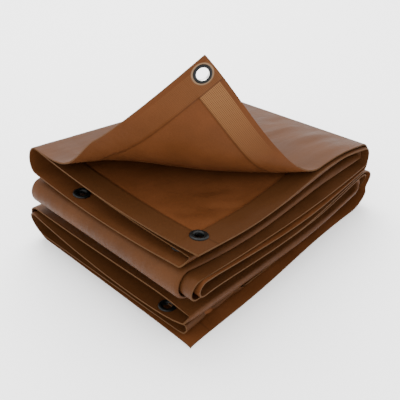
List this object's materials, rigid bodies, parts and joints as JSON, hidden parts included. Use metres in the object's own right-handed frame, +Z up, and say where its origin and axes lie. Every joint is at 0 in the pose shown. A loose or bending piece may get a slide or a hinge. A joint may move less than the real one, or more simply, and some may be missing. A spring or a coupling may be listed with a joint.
{
  "type": "folded tarp",
  "caption": "Coated cloth tarpaulin folded flat into a thick layered pack, with its near top corner curled up and back and eyelets along its hems.",
  "frame": {"origin": "on the surface the pack lies on, under the middle of its bounding box", "axes": "+X along the near right side of the pack and its longest side, +Y along the near left side, +Z up"},
  "size_m": [0.3246, 0.2552, 0.241],
  "materials": {
    "coated_cloth": "satin coated weave",
    "hem_cloth": "satin coated weave, doubled at the hem",
    "eyelet_metal": "black, bright inside the barrel"
  },
  "bodies": {
    "root": {"tarp_sheet": "coated_cloth", "corner_patch_top": "hem_cloth", "corner_patch_second": "hem_cloth", "eyelet_top_corner": "eyelet_metal", "eyelet_second_corner": "eyelet_metal", "eyelet_hem_left": "eyelet_metal", "eyelet_hem_near": "eyelet_metal", "eyelet_hem_lower": "eyelet_metal"}
  },
  "joints": []
}
